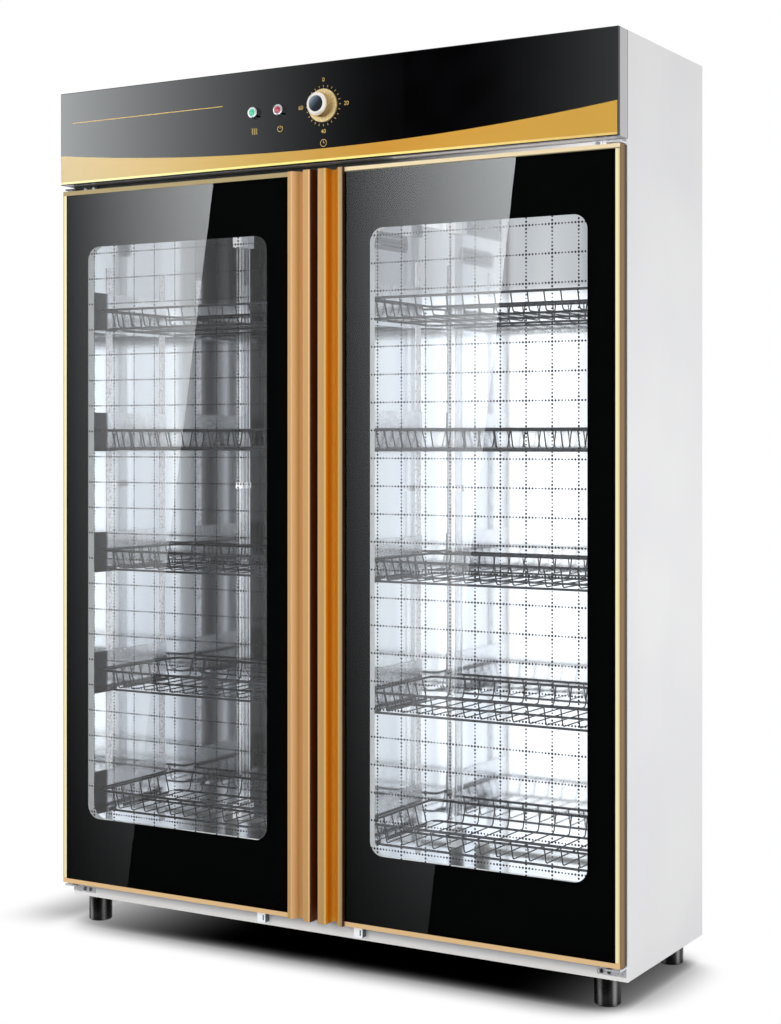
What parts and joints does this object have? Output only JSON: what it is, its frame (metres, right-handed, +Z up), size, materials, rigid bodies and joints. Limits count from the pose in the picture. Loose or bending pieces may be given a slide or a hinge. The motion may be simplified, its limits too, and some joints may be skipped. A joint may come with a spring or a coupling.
{
  "type": "dish sterilizer cabinet",
  "caption": "Tall free-standing dish sterilizer cabinet with glass doors, grip handles along their meeting edges, a control header, wire racks and round feet.",
  "frame": {"origin": "on the floor, under the middle of the bounding box (knob front to cord gland, side to side)", "axes": "+X to the right seen from the front, +Y towards the back, +Z up; the doors face -Y"},
  "size_m": [1.2, 0.428, 1.6494],
  "materials": {
    "white_paint": "smooth light grey powder paint",
    "stainless": "brushed stainless sheet",
    "zinc_steel": "zinc-plated steel",
    "gold_anodised": "satin gold anodised",
    "black_enamel": "black enamel printed on glass",
    "clear_glass": "clear tempered glass",
    "black_gloss": "gloss black",
    "gold_foil": "polished gold foil",
    "rack_wire": "bright wire",
    "white_nylon": "moulded nylon",
    "grey_rubber": "soft magnetic seal",
    "chrome_bezel": "polished chrome",
    "green_lens": "clear green lens",
    "red_lens": "clear red lens",
    "black_plastic": "satin black plastic",
    "quartz_glass": "ultraviolet lamp glass",
    "heater_ceramic": "unglazed ceramic",
    "motor_steel": "painted steel",
    "gold_plate": "gold-plated plastic",
    "cap_chrome": "polished cap"
  },
  "bodies": {
    "cabinet": {"right_side_panel": "white_paint", "left_side_panel": "white_paint", "top_cover": "white_paint", "back_panel": "white_paint", "base_pan": "white_paint", "front_frame": "stainless", "liner_sides": "stainless", "liner_back": "stainless", "liner_ceiling": "stainless", "liner_floor": "stainless", "centre_divider": "stainless", "shelf_standards": "zinc_steel", "rack_rails": "zinc_steel", "uv_tubes": "quartz_glass", "uv_lamp_holders": "white_nylon", "heater_elements": "heater_ceramic", "vent_grilles": "stainless", "fan_motor": "motor_steel", "fan_guard": "stainless", "hinge_brackets": "zinc_steel", "hinge_pins": "zinc_steel", "hinge_screws": "zinc_steel", "door_catches": "white_nylon", "header_tray": "white_paint", "header_fascia": "black_gloss", "header_band": "gold_foil", "timer_unit": "white_nylon", "lamp_bezels": "chrome_bezel", "green_lens": "green_lens", "red_lens": "red_lens", "feet": "black_plastic", "cord_gland": "black_plastic"},
    "left_door": {"left_door_frame": "gold_anodised", "left_door_handle": "gold_anodised", "left_door_glass": "clear_glass", "left_door_mask": "black_enamel", "left_door_inner_panel": "stainless", "left_door_gasket": "grey_rubber", "left_door_pivot_blocks": "white_nylon"},
    "right_door": {"right_door_frame": "gold_anodised", "right_door_handle": "gold_anodised", "right_door_glass": "clear_glass", "right_door_mask": "black_enamel", "right_door_inner_panel": "stainless", "right_door_gasket": "grey_rubber", "right_door_pivot_blocks": "white_nylon"},
    "knob": {"knob_grip": "gold_plate", "knob_cap": "cap_chrome", "timer_shaft": "zinc_steel"},
    "fan": {"fan_wheel": "motor_steel"},
    "rack_left_1": {"rack_left_1": "rack_wire"},
    "rack_left_2": {"rack_left_2": "rack_wire"},
    "rack_left_3": {"rack_left_3": "rack_wire"},
    "rack_left_4": {"rack_left_4": "rack_wire"},
    "rack_left_5": {"rack_left_5": "rack_wire"},
    "rack_right_1": {"rack_right_1": "rack_wire"},
    "rack_right_2": {"rack_right_2": "rack_wire"},
    "rack_right_3": {"rack_right_3": "rack_wire"},
    "rack_right_4": {"rack_right_4": "rack_wire"},
    "rack_right_5": {"rack_right_5": "rack_wire"}
  },
  "joints": [
    {"name": "left_door_hinge", "type": "hinge", "parent": "cabinet", "child": "left_door", "pos_m": [-0.588, -0.165, 0.76725], "axis": [0, 0, -1], "range_deg": [0, 120]},
    {"name": "right_door_hinge", "type": "hinge", "parent": "cabinet", "child": "right_door", "pos_m": [0.588, -0.165, 0.76725], "axis": [0, 0, 1], "range_deg": [0, 120]},
    {"name": "timer_knob_turn", "type": "hinge", "parent": "cabinet", "child": "knob", "pos_m": [0.02, -0.187, 1.5695], "axis": [0, 1, 0], "range_deg": [0, 270]},
    {"name": "fan_spin", "type": "hinge", "parent": "cabinet", "child": "fan", "pos_m": [0, 0.0275, 1.451], "axis": [0, 0, 1], "continuous": true},
    {"name": "rack_left_1_lift", "type": "slide", "parent": "cabinet", "child": "rack_left_1", "axis": [0, 0, 1], "range_m": [0, 0.012]},
    {"name": "rack_left_2_lift", "type": "slide", "parent": "cabinet", "child": "rack_left_2", "axis": [0, 0, 1], "range_m": [0, 0.012]},
    {"name": "rack_left_3_lift", "type": "slide", "parent": "cabinet", "child": "rack_left_3", "axis": [0, 0, 1], "range_m": [0, 0.012]},
    {"name": "rack_left_4_lift", "type": "slide", "parent": "cabinet", "child": "rack_left_4", "axis": [0, 0, 1], "range_m": [0, 0.012]},
    {"name": "rack_left_5_lift", "type": "slide", "parent": "cabinet", "child": "rack_left_5", "axis": [0, 0, 1], "range_m": [0, 0.012]},
    {"name": "rack_right_1_lift", "type": "slide", "parent": "cabinet", "child": "rack_right_1", "axis": [0, 0, 1], "range_m": [0, 0.012]},
    {"name": "rack_right_2_lift", "type": "slide", "parent": "cabinet", "child": "rack_right_2", "axis": [0, 0, 1], "range_m": [0, 0.012]},
    {"name": "rack_right_3_lift", "type": "slide", "parent": "cabinet", "child": "rack_right_3", "axis": [0, 0, 1], "range_m": [0, 0.012]},
    {"name": "rack_right_4_lift", "type": "slide", "parent": "cabinet", "child": "rack_right_4", "axis": [0, 0, 1], "range_m": [0, 0.012]},
    {"name": "rack_right_5_lift", "type": "slide", "parent": "cabinet", "child": "rack_right_5", "axis": [0, 0, 1], "range_m": [0, 0.012]}
  ]
}
